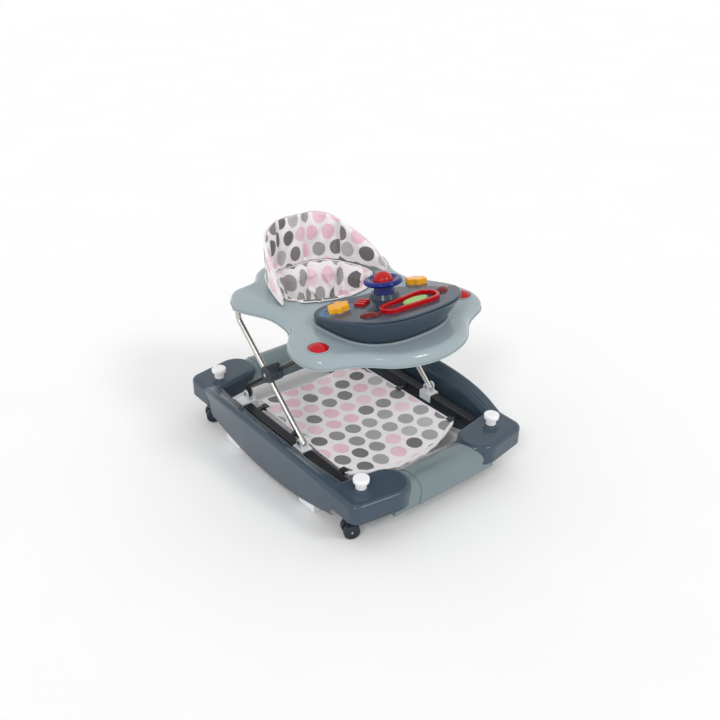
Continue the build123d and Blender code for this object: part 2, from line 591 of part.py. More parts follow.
def console_form(inset, low):
    foot_face = console_outline(-inset, CONSOLE_TAPER)
    over_face = console_outline(-inset, 2 - CONSOLE_TAPER)
    body = loft([Plane.XY.offset(low) * foot_face, Plane.XY.offset(low + 2 * CONSOLE_FULL) * over_face])
    over = Pos(0, 0, 50) * Box(400, 400, 100)
    body -= on_console(0, POST_Y).offset(-inset) * over
    for side in (1, -1):
        body -= on_corner(side, side * CORNER_X, CORNER_Y).offset(-inset) * over
    return body


console = console_form(0, console_low)
top_faces = console.faces().filter_by(lambda f: f.center().Z > TRAY_TOP + 15 and f.normal_at().Z > 0.8)
creases = [e for e in console.edges() if sum(e in f.edges() for f in top_faces) == 2]
rim_edges = [e for f in top_faces for e in f.edges() if e not in creases]
console = fillet(rim_edges, CONSOLE_EDGE)
console -= console_form(CONSOLE_WALL, console_low - 1)
console += on_console(0, POST_Y) * Pos(0, 0, -CONSOLE_WALL / 2) * Cone(
    BOSS_R + 3, BOSS_R - 2, BOSS_H + CONSOLE_WALL / 2, align=STANDING)
spindle_r = 4.0
console -= on_console(0, POST_Y) * Cylinder(spindle_r + RUN, 60)
for side in (1, -1):
    console -= on_corner(side, side * FLOWER_X, FLOWER_Y) * Cylinder(spindle_r + RUN, 30)
keep("console", console)

battery_box = block(-38, 38, -208, -160, TRAY_TOP + 0.2, TRAY_TOP + 26)
battery_box = fillet(battery_box.edges().filter_by(Axis.Z), 4)
keep("sound_box", battery_box)

# steering wheel on its post
on_boss = on_console(0, POST_Y).offset(BOSS_H)
post = Cone(POST_R, POST_R - 4, POST_H, align=STANDING) - Cylinder(spindle_r + RUN, 80)
keep("steering_post", on_boss * post)
rim_half = WHEEL_RIM_T / 2
wheel_profile = make_face([
    Polyline((0, POST_H + 0.3), (20, POST_H + 0.3), (30, POST_H + 3)),
    Spline((30, POST_H + 3), (WHEEL_RIM_R, POST_H + rim_half), (30, POST_H + WHEEL_RIM_T),
           tangents=[(1, -0.5), (-1, -0.4)]),
    Polyline((30, POST_H + WHEEL_RIM_T), (24, POST_H + 8), (0, POST_H + 8)),
    Line((0, POST_H + 8), (0, POST_H + 0.3)),
])
steering = revolve(Plane.XZ * wheel_profile, Axis.Z)
steering += Pos(0, 0, -24) * Cylinder(spindle_r, POST_H + 26, align=STANDING)
keep("steering_wheel", on_boss * steering)
cap_sphere = (CAP_R**2 + CAP_H**2) / (2 * CAP_H)
cap = Cylinder(CAP_R, CAP_H, align=STANDING)
cap &= Pos(0, 0, CAP_H - cap_sphere) * Sphere(cap_sphere)
keep("steering_cap", on_boss * Pos(0, 0, POST_H + 8) * cap)


def flower(x):
    """Six-petal knob on a spindle."""
    count = 36
    outline = []
    for i in range(count):
        angle = 2 * pi * i / count
        reach = FLOWER_R * (0.88 + 0.12 * cos(6 * angle))
        outline.append((reach * cos(angle), reach * sin(angle)))
    head = Pos(0, 0, 0.3) * extrude(make_face(Spline(*outline, periodic=True)), FLOWER_H - 0.3)
    head = fillet(head.faces().sort_by(Axis.Z)[-1].edges(), 2.5)
    head += Pos(0, 0, -12) * Cylinder(spindle_r, 14, align=STANDING)
    return on_corner(1 if x > 0 else -1, x, FLOWER_Y) * head


keep("flower_knob_right", flower(FLOWER_X))
keep("flower_knob_left", flower(-FLOWER_X))


def lens(x, turn):
    """Low oval dome."""
    dome = scale(Sphere(10), by=(LIGHT_A / 10, LIGHT_B / 10, LIGHT_H / 10))
    dome &= Pos(0, 0, LIGHT_H / 2) * Box(3 * LIGHT_A, 3 * LIGHT_B, LIGHT_H)
    return on_console(x, LIGHT_Y) * Rot(0, 0, turn) * dome


keep("oval_lights", [lens(LIGHT_X, LIGHT_TURN), lens(-LIGHT_X, -LIGHT_TURN)])

# bead loop: rounded teardrop frame round an oval insert
loop_plane = on_console(0, LOOP_Y)


def teardrop(grow):
    with BuildSketch() as plan:
        with Locations((42, 0)):
            Circle(LOOP_RIGHT + grow)
        with Locations((-50, 0)):
            Circle(LOOP_LEFT + grow)
        make_hull()
    return plan.sketch


loop = extrude(teardrop(LOOP_RIM) - teardrop(-LOOP_RIM), LOOP_H)
loop = fillet(loop.faces().sort_by(Axis.Z)[-1].edges(), 2.5)
keep("toy_loop", loop_plane * loop)
insert = Pos(16, 0, 0) * extrude(Ellipse(32, 15), 5)
keep("toy_insert", loop_plane * fillet(insert.faces().sort_by(Axis.Z)[-1].edges(), 2))
bead = fillet((Pos(0, 0, 3) * Box(BEAD_W, BEAD_L, 6)).faces().sort_by(Axis.Z)[-1].edges(), 1.5)
keep("slide_beads", [on_console(BEAD_X + 11 * i, BEAD_Y + 6 * i) * Rot(0, 0, 25) * bead for i in range(3)])


# ---------------------------------------------------------------- casters
def plunger(x, y):
    """Pull-up knob whose shank carries the caster."""
    top = PAD_TOP + KNOB_PROUD
    shank = upright(x, y, COLLAR_TOP + 0.2, top - KNOB_HEAD, KNOB_R)
    head = Pos(x, y, top - KNOB_HEAD - 5) * Cone(KNOB_R, KNOB_HEAD_R, 5, align=STANDING)
    head += upright(x, y, top - KNOB_HEAD, top, KNOB_HEAD_R)
    head = fillet(head.faces().sort_by(Axis.Z)[-1].edges(), 2.5)
    return shank + head - upright(x, y, COLLAR_TOP - 1, COLLAR_TOP + STEM_LENGTH + 1, STEM_R + RUN)


def caster_parts(x, y):
    """Swivel fork, axle and twin wheels, trailing behind the stem."""
    trail = Vector(CASTER_TRAIL_X, CASTER_TRAIL_Y, 0)
    turn = degrees(atan2(trail.Y, trail.X))
    with BuildSketch(Plane.XY.offset(HOOD_LOW)) as plan:
        Circle(HOOD_R)
        with Locations((trail.length, 0)):
            Circle(HOOD_R - 2)
        make_hull()
    fork = extrude(plan.sketch, HOOD_TOP - HOOD_LOW)
    fork = fillet(fork.faces().sort_by(Axis.Z)[-1].edges(), 4)
    fork += upright(0, 0, HOOD_LOW, COLLAR_TOP, COLLAR_R)
    fork += upright(0, 0, COLLAR_TOP - 1, COLLAR_TOP + STEM_LENGTH, STEM_R)
    rib = block(4, trail.length + 8, -FORK_RIB / 2, FORK_RIB / 2, WHEEL_R, HOOD_LOW + 1)
    rib += Pos(trail.length, 0, WHEEL_R) * Rot(90, 0, 0) * Cylinder(8, FORK_RIB)
    fork += rib
    along = Pos(trail.length, 0, WHEEL_R) * Rot(90, 0, 0)
    fork -= along * Cylinder(CASTER_AXLE_R, 60)
    half = FORK_RIB / 2 + SLIP + WHEEL_T
    axle = along * Cylinder(CASTER_AXLE_R, 2 * half)
    wheels = []
    for side in (1, -1):
        disc = Cylinder(WHEEL_R, WHEEL_T)
        disc = fillet(disc.edges(), 2.5)
        disc -= Pos(0, 0, side * WHEEL_T / 2) * Cylinder(11, 3)
        disc -= Cylinder(CASTER_AXLE_R + RUN, 60)
        wheels.append(along * Pos(0, 0, side * (half - WHEEL_T / 2)) * disc)
    place = Pos(x, y, 0) * Rot(0, 0, turn)
    return place * fork, place * axle, [place * wheel for wheel in wheels]


corners = {"front_left": (-KNOB_X, -KNOB_Y), "front_right": (KNOB_X, -KNOB_Y),
           "rear_left": (-KNOB_X, KNOB_Y), "rear_right": (KNOB_X, KNOB_Y)}
for corner, (x, y) in corners.items():
    fork, axle, wheels = caster_parts(x, y)
    keep("caster_knob_" + corner, plunger(x, y))
    keep("caster_fork_" + corner, fork)
    keep("caster_axle_" + corner, axle)
    keep("caster_wheels_" + corner, wheels)

# ---------------------------------------------------------------- foot mat and its hooks
mat_outline = [
    ThreePointArc((-MAT_FRONT_X, MAT_FRONT_Y), (0, MAT_FRONT_Y - MAT_BOW), (MAT_FRONT_X, MAT_FRONT_Y)),
    Line((MAT_FRONT_X, MAT_FRONT_Y), (MAT_REAR_X, MAT_REAR_Y)),
    Line((MAT_REAR_X, MAT_REAR_Y), (-MAT_REAR_X, MAT_REAR_Y)),
    Line((-MAT_REAR_X, MAT_REAR_Y), (-MAT_FRONT_X, MAT_FRONT_Y)),
]
mat = extrude(Plane.XY.offset(MAT_Z) * make_face(mat_outline), MAT_T)
keep("foot_mat", fillet(mat.edges().filter_by(Axis.Z), 10))

hook_half = 8.0
folded_slider_front = head_pin_y(FOLD_ANGLE) - BRACKET_L / 2
hooks = []
for y in (folded_slider_front - hook_half - STOP_GAP, -2.0, MAT_REAR_Y - 34):
    edge_x = MAT_FRONT_X + (MAT_REAR_X - MAT_FRONT_X) * (y - MAT_FRONT_Y) / (MAT_REAR_Y - MAT_FRONT_Y)
    hook = block(edge_x - 9, edge_x + 3, y - hook_half, y + hook_half, MAT_Z - 3.2, MAT_Z + MAT_T + 3.2)
    hook -= block(edge_x - 10, edge_x + 0.2, y - 9, y + 9, MAT_Z - 0.2, MAT_Z + MAT_T + 0.2)
    hook += block(edge_x + 2, rail_in, y - 5, y + 5, MAT_Z - 1, MAT_Z + 6)
    hooks += both_sides(hook)
keep("mat_hooks", hooks)

# ---------------------------------------------------------------- rocking stops
stop_y, stop_length, stop_low = 150.0, 56.0, 11.0
stops = []
for side in (-1, 1):
    stop = block(SOLE_X - 12, SOLE_X + 12, side * stop_y - stop_length / 2, side * stop_y + stop_length / 2,
                 stop_low, 60) - rail_solid
    stop = stop.solids().sort_by(Axis.Z)[0]
    stops += both_sides(stop)
keep("rocking_stops", stops)

os.makedirs("parts", exist_ok=True)
for name, shape in parts.items():
    shape.label = name
    export_step(shape, f"parts/{name}.step")
print(len(parts), "nodes written")
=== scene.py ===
import math

import bmesh
import bpy
from mathutils import Matrix, Vector, noise
from mathutils.bvhtree import BVHTree


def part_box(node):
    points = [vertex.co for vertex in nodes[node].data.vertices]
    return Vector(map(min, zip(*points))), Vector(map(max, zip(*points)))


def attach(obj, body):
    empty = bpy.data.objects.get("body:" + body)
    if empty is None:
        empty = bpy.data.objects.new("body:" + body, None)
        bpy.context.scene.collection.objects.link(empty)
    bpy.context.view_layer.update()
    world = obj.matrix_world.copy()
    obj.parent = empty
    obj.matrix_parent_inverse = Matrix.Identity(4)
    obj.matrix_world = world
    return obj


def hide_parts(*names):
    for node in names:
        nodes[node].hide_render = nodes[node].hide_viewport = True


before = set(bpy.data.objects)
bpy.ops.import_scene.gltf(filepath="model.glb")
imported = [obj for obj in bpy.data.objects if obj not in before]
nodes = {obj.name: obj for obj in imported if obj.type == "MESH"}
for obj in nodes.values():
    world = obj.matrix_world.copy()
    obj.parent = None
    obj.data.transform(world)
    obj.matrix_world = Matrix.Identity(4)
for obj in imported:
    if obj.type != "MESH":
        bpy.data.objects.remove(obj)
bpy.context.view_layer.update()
corners = ("front_left", "front_right", "rear_left", "rear_right")

# ---------------------------------------------------------------- rockers and corner pads
# Two hollow polypropylene mouldings in slate blue-grey, one a side, with the corner pads in one piece.
# The tool gives them a fine grain; hands and floors polish it a little, so the gloss comes in soft patches.


def linear(red, green, blue):
    """A colour from a swatch card's 0 to 255 values."""
    share = [c / 255 for c in (red, green, blue)]
    return tuple(c / 12.92 if c < 0.04045 else ((c + 0.055) / 1.055) ** 2.4 for c in share) + (1.0,)


def new_material(name):
    material = bpy.data.materials.new(name)
    material.use_nodes = True
    return material, material.node_tree, material.node_tree.nodes["Principled BSDF"]


def add_noise(tree, coordinate, scale, detail=3.0, stretch=(1, 1, 1)):
    """Noise texture on a coordinate, stretched along its axes."""
    mapping = tree.nodes.new("ShaderNodeMapping")
    mapping.inputs["Scale"].default_value = stretch
    texture = tree.nodes.new("ShaderNodeTexNoise")
    texture.inputs["Scale"].default_value = scale
    texture.inputs["Detail"].default_value = detail
    tree.links.new(coordinate, mapping.inputs["Vector"])
    tree.links.new(mapping.outputs["Vector"], texture.inputs["Vector"])
    return texture.outputs["Fac"]


def feed(tree, into, value):
    """Fill an input from a socket or with a plain value."""
    if hasattr(value, "links"):
        tree.links.new(value, into)
    else:
        into.default_value = value


def shade_between(tree, factor, first, second):
    """Colour that moves from the first to the second with a factor; each is a socket or a plain colour."""
    mix = tree.nodes.new("ShaderNodeMix")
    mix.data_type = "RGBA"
    feed(tree, mix.inputs["A"], first)
    feed(tree, mix.inputs["B"], second)
    tree.links.new(factor, mix.inputs["Factor"])
    return mix.outputs["Result"]


def remap(tree, value, start, end, low=0.0, high=1.0):
    """Map start to end onto low to high, and hold it there outside."""
    step = tree.nodes.new("ShaderNodeMapRange")
    limits = {"From Min": start, "From Max": end, "To Min": low, "To Max": high}
    for name, limit in limits.items():
        step.inputs[name].default_value = limit
    tree.links.new(value, step.inputs["Value"])
    return step.outputs["Result"]


def spread(tree, value, low, high):
    """Map a noise, which stays mostly between 0.3 and 0.7, onto low to high."""
    return remap(tree, value, 0.3, 0.7, low, high)


def add_bump(tree, shader, height, distance, strength=0.2):
    bump = tree.nodes.new("ShaderNodeBump")
    bump.inputs["Strength"].default_value = strength
    bump.inputs["Distance"].default_value = distance
    tree.links.new(height, bump.inputs["Height"])
    tree.links.new(bump.outputs["Normal"], shader.inputs["Normal"])


def moulded_plastic(name, colour, roughness=0.35, grain=900.0, relief=0.00003, drift=0.03, shine=0.33):
    """Moulded plastic: faint shade drift, patchy gloss and a fine grain."""
    material, tree, shader = new_material(name)
    shader.inputs["Specular IOR Level"].default_value = shine
    place = tree.nodes.new("ShaderNodeTexCoord").outputs["Object"]
    dark = tuple(c * (1 - drift) for c in colour[:3]) + (1.0,)
    light = tuple(c * (1 + drift) for c in colour[:3]) + (1.0,)
    shade = spread(tree, add_noise(tree, place, 9.0, 1.0), 0.0, 1.0)
    tree.links.new(shade_between(tree, shade, dark, light), shader.inputs["Base Color"])
    patches = spread(tree, add_noise(tree, place, 22.0, 2.0), roughness - 0.01, roughness + 0.025)
    tree.links.new(patches, shader.inputs["Roughness"])
    add_bump(tree, shader, add_noise(tree, place, grain, 2.0), relief)
    return material


def dress(material, *names):
    """Give CAD nodes their finish."""
    for name in names:
        nodes[name].material_slots[0].material = material


slate = moulded_plastic("slate_rocker_plastic", linear(64, 79, 92), 0.17, 700.0, 0.00001)
dress(slate, "rocker_left", "rocker_right")

# ---------------------------------------------------------------- bumpers
# Pale grey mouldings that tie the rockers together front and rear and hold them apart.
# Same plastic as the tray, slightly darker and greener, with a soft gloss along the crest.
bumper_grey = moulded_plastic("pale_bumper_plastic", linear(117, 132, 136), 0.18, 800.0, 0.00001)
dress(bumper_grey, "bumper_front", "bumper_rear")

# ---------------------------------------------------------------- casters
# White push-pull knobs on top; below the pads a slate fork on a steel stem carries twin hard wheels.
# The wheels are dark nylon rubbed dull on the tread, the axle is plated wire.
white_nylon = moulded_plastic("white_nylon", linear(252, 253, 255), 0.22, 600.0, 0.00002, 0.01)
fork_slate = moulded_plastic("fork_slate_plastic", linear(56, 68, 80), 0.40, 900.0, 0.0001)
tread = moulded_plastic("wheel_tread_plastic", linear(44, 50, 62), 0.5, 1200.0, 0.0002)


def brushed_metal(name, colour, roughness, stretch, relief=0.00003):
    """Drawn or brushed metal with fine lines along the stretch."""
    material, tree, shader = new_material(name)
    place = tree.nodes.new("ShaderNodeTexCoord").outputs["Object"]
    shader.inputs["Metallic"].default_value = 1.0
    lines = add_noise(tree, place, 300.0, 3.0, stretch)
    dark = tuple(c * 0.82 for c in colour[:3]) + (1.0,)
    tree.links.new(shade_between(tree, spread(tree, lines, 0, 1), dark, colour), shader.inputs["Base Color"])
    tree.links.new(spread(tree, lines, roughness - 0.06, roughness + 0.08), shader.inputs["Roughness"])
    add_bump(tree, shader, lines, relief)
    return material


zinc = brushed_metal("zinc_plate", linear(196, 196, 192), 0.34, (1, 6, 6))
for corner in corners:
    dress(white_nylon, "caster_knob_" + corner)
    dress(fork_slate, "caster_fork_" + corner)
    dress(zinc, "caster_axle_" + corner)
    dress(tread, "caster_wheels_" + corner)

# ---------------------------------------------------------------- slide rails, brackets and stops
# Black acetal rails lie on the rockers' ledges; the white nylon sliders run on them and the fixed
# brackets clip round their rear ends. White stop blocks are pushed into the rocker soles.
rail_black = moulded_plastic("rail_black_acetal", linear(38, 41, 46), 0.33, 900.0, 0.00005)
dress(rail_black, "slide_rail_left", "slide_rail_right", "mat_hooks", "height_racks", "rear_hangers")
bracket_white = moulded_plastic("bracket_white_nylon", linear(232, 235, 238), 0.34, 600.0, 0.00003, 0.02)
dress(bracket_white, "arm_slider_left", "arm_slider_right", "foot_bracket_left", "foot_bracket_right")
dress(bracket_white, "rocking_stops")

# ---------------------------------------------------------------- scissor arms
# The front arms are bright brushed steel tube, the rear arms the same tube powder-coated black.
# Dark moulded hubs clamp both at the middle pivot, and plated rivets make the pivots.
bright_tube = brushed_metal("bright_brushed_tube", linear(205, 202, 196), 0.24, (8, 1, 1))
dress(bright_tube, "front_arm_left", "front_arm_right")
black_coat = moulded_plastic("black_powder_coat", linear(46, 48, 50), 0.30, 1500.0, 0.00008, 0.05)
dress(black_coat, "rear_arm_left", "rear_arm_right")
hub_plastic = moulded_plastic("hub_plastic", linear(58, 66, 74), 0.40, 700.0, 0.00008)
dress(hub_plastic, "front_hub_left", "front_hub_right", "rear_hub_left", "rear_hub_right")
dress(zinc, "front_arm_pins", "rear_arm_pins")

# ---------------------------------------------------------------- play tray
# One large polypropylene moulding in pale blue-grey, glossy on top, with a rolled edge.
# The gloss is even; only a soft drift of shade shows where the melt flowed.
tray_grey = moulded_plastic("tray_plastic", linear(153, 167, 172), 0.15, 800.0, 0.00001, 0.015, 0.55)
dress(tray_grey, "tray_shell")

# ---------------------------------------------------------------- dome buttons
# Red domes of opaque acrylic, highly polished, sprung in cups on the tray's front ears.
red_gloss = moulded_plastic("red_gloss_plastic", linear(184, 8, 18), 0.07, 500.0, 0.00001, 0.05)
dress(red_gloss, "dome_button_left", "dome_button_right")

# ---------------------------------------------------------------- toy console
# Dark slate housing with a sloped top; the wheel, flowers, loop and beads are bright gloss mouldings.
# The two rear corners carry a blue printed ground round their flower knobs.
console_slate = moulded_plastic("console_plastic", linear(56, 71, 84), 0.2, 700.0, 0.00002)
tree = console_slate.node_tree
shader = tree.nodes["Principled BSDF"]
place = tree.nodes.new("ShaderNodeTexCoord").outputs["Object"]
housing = shader.inputs["Base Color"].links[0].from_socket
print_colour = shade_between(tree, spread(tree, add_noise(tree, place, 70.0, 2.0), 0.0, 1.0),
                             linear(22, 74, 128), linear(70, 132, 164))
print_reach, print_edge = 0.0385, 0.0007
below_knob = Vector((0, 0.006, -0.010))
for knob in ("flower_knob_left", "flower_knob_right"):
    knob_low, knob_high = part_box(knob)
    from_knob = tree.nodes.new("ShaderNodeVectorMath")
    from_knob.operation = "DISTANCE"
    from_knob.inputs[1].default_value = (knob_low + knob_high) / 2 + below_knob
    tree.links.new(place, from_knob.inputs[0])
    inside = remap(tree, from_knob.outputs["Value"], print_reach, print_reach - print_edge)
    housing = shade_between(tree, inside, housing, print_colour)
tree.links.new(housing, shader.inputs["Base Color"])
dress(console_slate, "console")
blue_gloss = moulded_plastic("blue_gloss_plastic", linear(8, 28, 118), 0.08, 500.0, 0.00001, 0.05)
dress(blue_gloss, "steering_post", "steering_wheel")
dress(red_gloss, "steering_cap", "toy_loop", "slide_beads")
yellow = moulded_plastic("yellow_gloss_plastic", linear(244, 172, 34), 0.2, 500.0, 0.00002, 0.05)
dress(yellow, "flower_knob_left", "flower_knob_right")
lens_red = moulded_plastic("dark_red_lens", linear(104, 6, 14), 0.06, 400.0, 0.00001, 0.1)
dress(lens_red, "oval_lights")
green = moulded_plastic("green_plastic", linear(140, 190, 100), 0.3, 500.0, 0.00002, 0.05)
dress(green, "toy_insert")
dress(rail_black, "sound_box")

# ---------------------------------------------------------------- seat sling
# Single-layer cotton bucket hung from the tray's seat opening, with two leg holes and white bound edges.
# Printed with grey and pink dots in staggered rows; it hangs in soft vertical folds.
DOT_PITCH, DOT_ROW, DOT_RADIUS, DOT_EDGE, DOT_SHIFT = 0.050, 0.0435, 0.0195, 0.0008, 0.08
cloth_white = linear(249, 245, 246)
dot_colours = [linear(110, 108, 108), linear(243, 202, 214), linear(150, 148, 148), linear(130, 128, 128),
               linear(248, 221, 228), linear(170, 168, 168), linear(245, 210, 220), linear(190, 189, 192)]


def add_maths(tree, kind, operation, first, second=None):
    """Math or vector-math node; an input is a socket or a plain value."""
    step = tree.nodes.new("ShaderNode" + kind)
    step.operation = operation
    for into, value in zip(step.inputs, (first, second)):
        if value is not None:
            feed(tree, into, value)
    return step


def dot_grid(tree, place, offset):
    """One rectangular grid of dots: the mask of the dots and a random number for each."""
    size = (DOT_PITCH, 2 * DOT_ROW, 1.0)
    moved = add_maths(tree, "VectorMath", "ADD", place, offset).outputs["Vector"]
    cells = add_maths(tree, "VectorMath", "DIVIDE", moved, size).outputs["Vector"]
    cell = add_maths(tree, "VectorMath", "FLOOR", cells).outputs["Vector"]
    inside = add_maths(tree, "VectorMath", "FRACTION", cells).outputs["Vector"]
    centred = add_maths(tree, "VectorMath", "SUBTRACT", inside, (0.5, 0.5, 0.0)).outputs["Vector"]
    chance = tree.nodes.new("ShaderNodeTexWhiteNoise")
    keyed = add_maths(tree, "VectorMath", "ADD", cell, tuple(40 * c + 3.0 for c in offset)).outputs["Vector"]
    tree.links.new(keyed, chance.inputs["Vector"])
    colour = chance.outputs["Color"]
    jitter = add_maths(tree, "VectorMath", "SUBTRACT", colour, (0.5, 0.5, 0.5)).outputs["Vector"]
    jitter = add_maths(tree, "VectorMath", "MULTIPLY", jitter, (DOT_SHIFT, DOT_SHIFT, 0.0)).outputs["Vector"]
    centred = add_maths(tree, "VectorMath", "ADD", centred, jitter).outputs["Vector"]
    flat = add_maths(tree, "VectorMath", "MULTIPLY", centred, (size[0], size[1], 0.0)).outputs["Vector"]
    reach = add_maths(tree, "VectorMath", "LENGTH", flat).outputs["Value"]
    return remap(tree, reach, DOT_RADIUS, DOT_RADIUS - DOT_EDGE), chance.outputs["Value"]


def cotton(name, printed):
    """Cotton with a fine weave and a soft sheen; its printed dots follow the piece's cloth map."""
    material, tree, shader = new_material(name)
    cloth = tree.nodes.new("ShaderNodeUVMap")
    cloth.uv_map = "cloth"
    place = cloth.outputs["UV"]
    colour = cloth_white
    for offset in ((0.0, 0.0, 0.0), (DOT_PITCH / 2, DOT_ROW, 0.0)) if printed else ():
        mask, chance = dot_grid(tree, place, offset)
        ramp = tree.nodes.new("ShaderNodeValToRGB")
        ramp.color_ramp.interpolation = "CONSTANT"
        ramp.color_ramp.elements.remove(ramp.color_ramp.elements[1])
        ramp.color_ramp.elements[0].color = dot_colours[0]
        for i, dot in enumerate(dot_colours[1:], 1):
            ramp.color_ramp.elements.new(i / len(dot_colours)).color = dot
        tree.links.new(chance, ramp.inputs["Fac"])
        colour = shade_between(tree, mask, colour, ramp.outputs["Color"])
    soil = spread(tree, add_noise(tree, place, 30.0, 4.0), 0.96, 1.03)
    tint = add_maths(tree, "VectorMath", "SCALE", colour if printed else cloth_white[:3])
    tree.links.new(soil, tint.inputs["Scale"])
    tree.links.new(tint.outputs["Vector"], shader.inputs["Base Color"])
    shader.inputs["Roughness"].default_value = 0.85
    shader.inputs["Sheen Weight"].default_value = 0.25
    yarns = []
    for direction in ("X", "Y"):
        yarn = tree.nodes.new("ShaderNodeTexWave")
        yarn.bands_direction = direction
        yarn.inputs["Scale"].default_value = 420.0
        yarn.inputs["Distortion"].default_value = 1.0
        tree.links.new(place, yarn.inputs["Vector"])
        yarns.append(yarn.outputs["Fac"])
    threads = add_maths(tree, "Math", "ADD", *yarns).outputs["Value"]
    add_bump(tree, shader, threads, 0.00025, 0.4)
    return material


dotted = cotton("dotted_cotton", printed=True)
binding = cotton("white_binding", printed=False)

# the seat opening's outline, read from the lowest edge of the tray's lip
tray_low, tray_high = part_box("tray_shell")
lip = [v.co for v in nodes["tray_shell"].data.vertices if v.co.z < tray_low.z + 0.0005]
seat_y = (min(p.y for p in lip) + max(p.y for p in lip)) / 2
seat_middle = Vector((0.0, seat_y))
step_degrees = 4
steps_round = 360 // step_degrees
mouth_reach = {}
for p in lip:
    away = Vector((p.x, p.y)) - seat_middle
    step = round(math.degrees(math.atan2(away.y, away.x)) / step_degrees) % steps_round
    mouth_reach[step] = min(mouth_reach.get(step, 1.0), away.length)
mouth_steps = sorted(mouth_reach)


def mouth_radius(angle):
    """Reach of the seat opening in a direction from its middle."""
    place = math.degrees(angle) / step_degrees % steps_round
    after = next((s for s in mouth_steps if s > place), mouth_steps[0] + steps_round)
    before = max((s for s in mouth_steps if s <= place), default=mouth_steps[-1] - steps_round)
    share = (place - before) / (after - before)
    return mouth_reach[before % steps_round] * (1 - share) + mouth_reach[after % steps_round] * share


def mouth_point(angle, grow, z):
    reach = mouth_radius(angle) + grow
    return Vector((seat_middle.x + reach * math.cos(angle), seat_middle.y + reach * math.sin(angle), z))


def new_piece(name, bm, material, smooth=True):
    """Object at the origin from a bmesh, with its finish."""
    mesh = bpy.data.meshes.new(name)
    bm.to_mesh(mesh)
    bm.free()
    piece = bpy.data.objects.new(name, mesh)
    bpy.context.scene.collection.objects.link(piece)
    mesh.materials.append(material)
    for face in mesh.polygons:
        face.use_smooth = smooth
    return piece


def shaped_grid(columns, rows, place, cloth_place, wrap=False):
    """Grid whose vertices go where place(u, v) says, with a cloth map in metres; wrap joins its sides."""
    bm = bmesh.new()
    bmesh.ops.create_grid(bm, x_segments=columns, y_segments=rows, size=0.5)
    cloth = bm.loops.layers.uv.new("cloth")
    for face in bm.faces:
        for loop in face.loops:
            u, v = loop.vert.co.x + 0.5, loop.vert.co.y + 0.5
            loop[cloth].uv = cloth_place(u, v)
    for vert in bm.verts:
        vert.co = place(vert.co.x + 0.5, vert.co.y + 0.5)
    if wrap:
        bmesh.ops.remove_doubles(bm, verts=bm.verts, dist=1e-5)
    return bm


sling_low, sling_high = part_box("seat_sling")
sling_depth = sling_high.z - sling_low.z
sling_wall = 0.0022
mean_reach = sum(mouth_reach.values()) / len(mouth_reach)
roll_share, floor_share = 0.07, 0.26    # parts of v that roll over the lip and lie on the floor
hang_top = tray_high.z - 0.0045         # the wall hangs from just under the tray's top
lip_gap, wing_tuck = 0.004, 0.008       # inside the lip, and further in behind the seat back's wings
hem_reach, hem_lift, hem_roll = 0.0125, 0.004, 0.0018
wall_taper, wall_curve = 0.04, 0.34
floor_gap, floor_sag = 0.006, 0.003
panel_swell, wing_swell, fold_lean = 0.018, 0.004, 0.25
dent_scale, dent_depth = 2.6, 0.0070
wing_end, wing_fade = math.radians(118), 0.14
fold_lines = [math.radians(a) for a in (-180, -146, -112, -66, -30, 16, 60, 98, 141, 180)]


def crumple(point, scale, depth):
    """Soft dents with sharper valley lines, as gathered cotton takes them."""
    soft = noise.noise(point * scale)
    ridge = 1 - 2 * abs(noise.noise(point * scale * 0.8 + Vector((7.1, 3.3, 5.7))))
    return depth * (0.7 * soft - max(ridge, 0.0) ** 5)


def between_folds(turn):
    """0 on a fold line, 1 in the middle of the panel between two."""
    for low, high in zip(fold_lines, fold_lines[1:]):
        if low <= turn < high:
            return math.sin(math.pi * (turn - low) / (high - low)) ** 0.55
    return 0.0


def sling_place(u, v):
    """u runs round the opening from its front, v from the hem down the wall and over the floor."""
    turn = (u - 0.5) * 2 * math.pi
    angle = math.pi / 2 - turn
    open_rim = max(0.0, min(1.0, (abs(turn) - wing_end) / wing_fade))
    if v < roll_share:
        rolled = 1 - v / roll_share
        over = math.sin(math.pi * min(rolled * 1.1, 1.0))
        grow = -lip_gap + open_rim * hem_reach * rolled
        z = hang_top + 0.002 * rolled + open_rim * (hem_lift * min(rolled * 2, 1.0) + hem_roll * over)
        return mouth_point(angle, grow - wing_tuck * (1 - open_rim), z)
    down = min(1.0, (v - roll_share) / (1 - floor_share - roll_share))
    inward = max(0.0, (v - (1 - floor_share)) / floor_share)
    reach = 1 - wall_taper * down - wall_curve * down * down
    z = hang_top - (hang_top - sling_low.z - floor_gap) * down
    z -= floor_sag * math.sin(math.pi * min(inward, 0.5))
    rim = mouth_point(angle, -lip_gap, z)
    flat = Vector((rim.x - seat_middle.x, rim.y - seat_middle.y, 0)) * reach * (1 - inward)
    swell = min(1.0, down * 6) ** 0.6 * (1 - max(0.0, (down - 0.5) / 0.5) ** 2)
    panel = panel_swell * between_folds(turn + fold_lean * (down - 0.3))
    pull = wing_tuck * (1 - open_rim) * (1 - down) + swell * (panel + wing_swell * (1 - open_rim))
    spot = Vector((math.cos(angle), math.sin(angle), down * 1.2))
    pull -= crumple(spot, dent_scale, dent_depth) * min(1.0, down * 4)
    pull *= 1 - min(1.0, inward * 3)
    middle = Vector((seat_middle.x, seat_middle.y, z))
    return middle + flat - (flat.normalized() * pull if inward < 1 else flat)


def sling_cloth(u, v):
    """Cloth map of the sling: each fold line takes up a tuck."""
    turn = (u - 0.5) * 2 * math.pi
    tucked = 0.013 * sum(turn > line for line in fold_lines)
    return turn * mean_reach * 0.95 + tucked, -v * sling_depth / (1 - floor_share)


